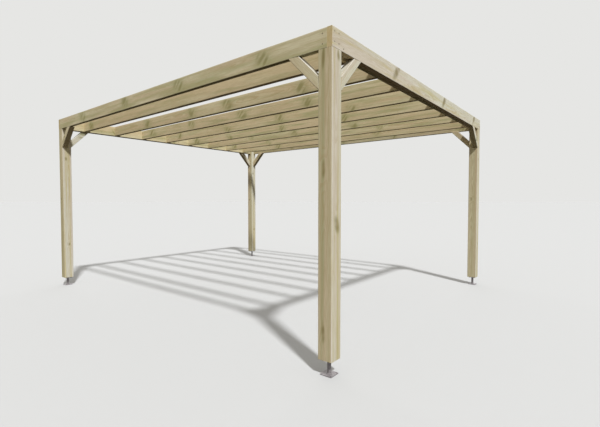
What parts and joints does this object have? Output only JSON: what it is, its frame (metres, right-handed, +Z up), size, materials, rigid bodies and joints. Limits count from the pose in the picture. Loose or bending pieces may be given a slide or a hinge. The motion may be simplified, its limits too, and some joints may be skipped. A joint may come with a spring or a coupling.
{
  "type": "wooden pergola",
  "caption": "Free-standing flat-roofed pergola of planed timber: square posts on raised steel feet, knee braces, edge boards and open rafters.",
  "frame": {"origin": "on the ground, at the middle of the plan, under the feet", "axes": "+X across the front, along the end beams; +Y from the front to the back, along the rafters; +Z up"},
  "size_m": [4, 4.93, 2.49],
  "materials": {
    "treated_pine": "planed, pressure-treated",
    "galvanised_steel": "hot-dip galvanised"
  },
  "bodies": {
    "root": {"front_beam": "treated_pine", "front_bearer": "treated_pine", "front_left_post": "treated_pine", "front_left_foot": "galvanised_steel", "front_left_front_brace": "treated_pine", "front_left_side_brace": "treated_pine", "front_right_post": "treated_pine", "front_right_foot": "galvanised_steel", "front_right_front_brace": "treated_pine", "front_right_side_brace": "treated_pine", "back_beam": "treated_pine", "back_bearer": "treated_pine", "back_left_post": "treated_pine", "back_left_foot": "galvanised_steel", "back_left_back_brace": "treated_pine", "back_left_side_brace": "treated_pine", "back_right_post": "treated_pine", "back_right_foot": "galvanised_steel", "back_right_back_brace": "treated_pine", "back_right_side_brace": "treated_pine", "left_beam": "treated_pine", "right_beam": "treated_pine", "rafter_1": "treated_pine", "rafter_2": "treated_pine", "rafter_3": "treated_pine", "rafter_4": "treated_pine", "rafter_5": "treated_pine", "rafter_6": "treated_pine", "rafter_7": "treated_pine", "rafter_8": "treated_pine"}
  },
  "joints": []
}
